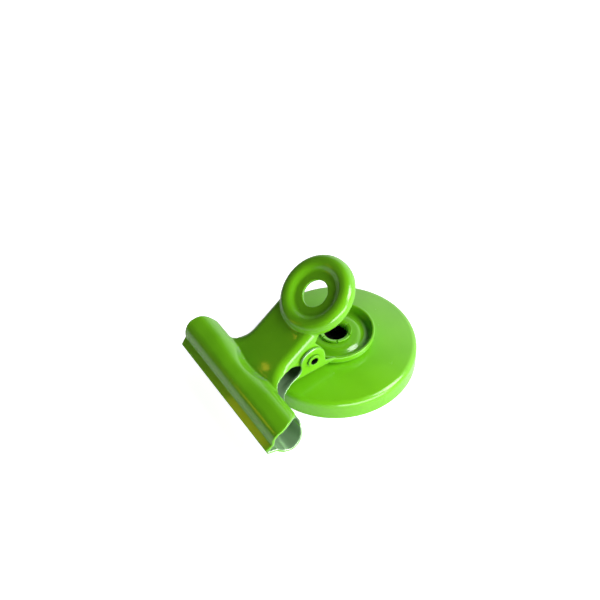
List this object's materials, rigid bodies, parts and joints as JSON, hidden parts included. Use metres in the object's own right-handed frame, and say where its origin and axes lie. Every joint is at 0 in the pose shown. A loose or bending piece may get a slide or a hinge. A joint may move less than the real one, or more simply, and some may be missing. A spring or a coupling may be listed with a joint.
{
  "type": "magnetic clip",
  "caption": "Small sprung paper clip of stamped painted steel jaws with ring handles, riveted by its lower ring to a round magnet base so that it holds paper on a steel board.",
  "frame": {"origin": "centre of the magnet's working face, on the rivet's axis", "axes": "+Z out of the board through the rivet, -Y towards the jaws' lips, +Y towards the free ring, X along the hinge pin"},
  "size_m": [0.0306, 0.0392, 0.0227],
  "materials": {
    "paint": "gloss lime-green enamel over sheet steel",
    "ferrite": "matt sintered ferrite, ground faces",
    "glue": "cured resin",
    "spring_steel": "dark tempered strip"
  },
  "bodies": {
    "base": {"magnet_cup": "paint", "magnet": "ferrite", "adhesive": "glue", "rivet": "paint"},
    "clip": {"lower_jaw": "paint", "hinge_pin": "paint", "spring": "spring_steel"},
    "upper": {"upper_jaw": "paint"}
  },
  "joints": [
    {"name": "swivel", "type": "hinge", "parent": "base", "child": "clip", "pos_m": [0, 0, 0.005], "axis": [0, 0, 1], "continuous": true},
    {"name": "jaw_hinge", "type": "hinge", "parent": "clip", "child": "upper", "pos_m": [0, -0.0088, 0.01006], "axis": [-1, 0, 0], "range_deg": [0, 50], "stiffness_Nm_per_rad": 0.1, "springref_deg": -51.57, "deforming": ["spring"]}
  ]
}
